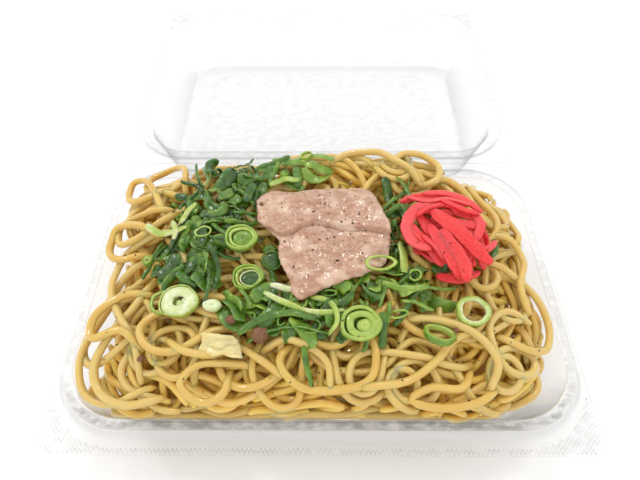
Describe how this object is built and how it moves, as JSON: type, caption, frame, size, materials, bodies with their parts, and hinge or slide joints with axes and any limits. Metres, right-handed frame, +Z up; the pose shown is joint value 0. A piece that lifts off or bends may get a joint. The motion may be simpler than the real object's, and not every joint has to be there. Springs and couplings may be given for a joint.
{
  "type": "yakisoba",
  "caption": "Salt yakisoba heaped in a clear plastic food pack with its hinged lid open, topped with chopped green onion, sliced pork and red pickled ginger.",
  "frame": {"origin": "middle of the tray's flat underside", "axes": "+X to the right along the hinge, +Y from the tray to the open lid, +Z up"},
  "size_m": [0.1848, 0.2575, 0.0529],
  "materials": {
    "clear_plastic": "thin clear polystyrene sheet, glossy",
    "noodle": "moist fried noodle, lightly oiled",
    "onion_leaf": "cut green onion leaf, moist",
    "onion_stalk": "cut onion stalk, moist and slightly see-through",
    "pork": "cooked pork, wet, with coarse pepper",
    "ginger": "pickled ginger, wet and slightly see-through",
    "cabbage": "cooked cabbage, wet"
  },
  "bodies": {
    "tray": {"pack_base": "clear_plastic", "noodles": "noodle", "green_onions": "onion_leaf", "pork_slice": "pork", "pickled_ginger": "ginger", "cabbage_piece": "cabbage", "onion_ring_right": "onion_stalk", "onion_ring_back_left": "onion_stalk", "onion_ring_left": "onion_stalk", "onion_ring_front": "onion_stalk", "onion_ring_white": "onion_stalk", "onion_ring_near_ginger": "onion_stalk"},
    "lid": {"pack_lid": "clear_plastic"}
  },
  "joints": [
    {"name": "lid_hinge", "type": "hinge", "parent": "tray", "child": "lid", "pos_m": [0, 0.0645, 0.02715], "axis": [1, 0, 0], "range_deg": [0, 180]}
  ]
}
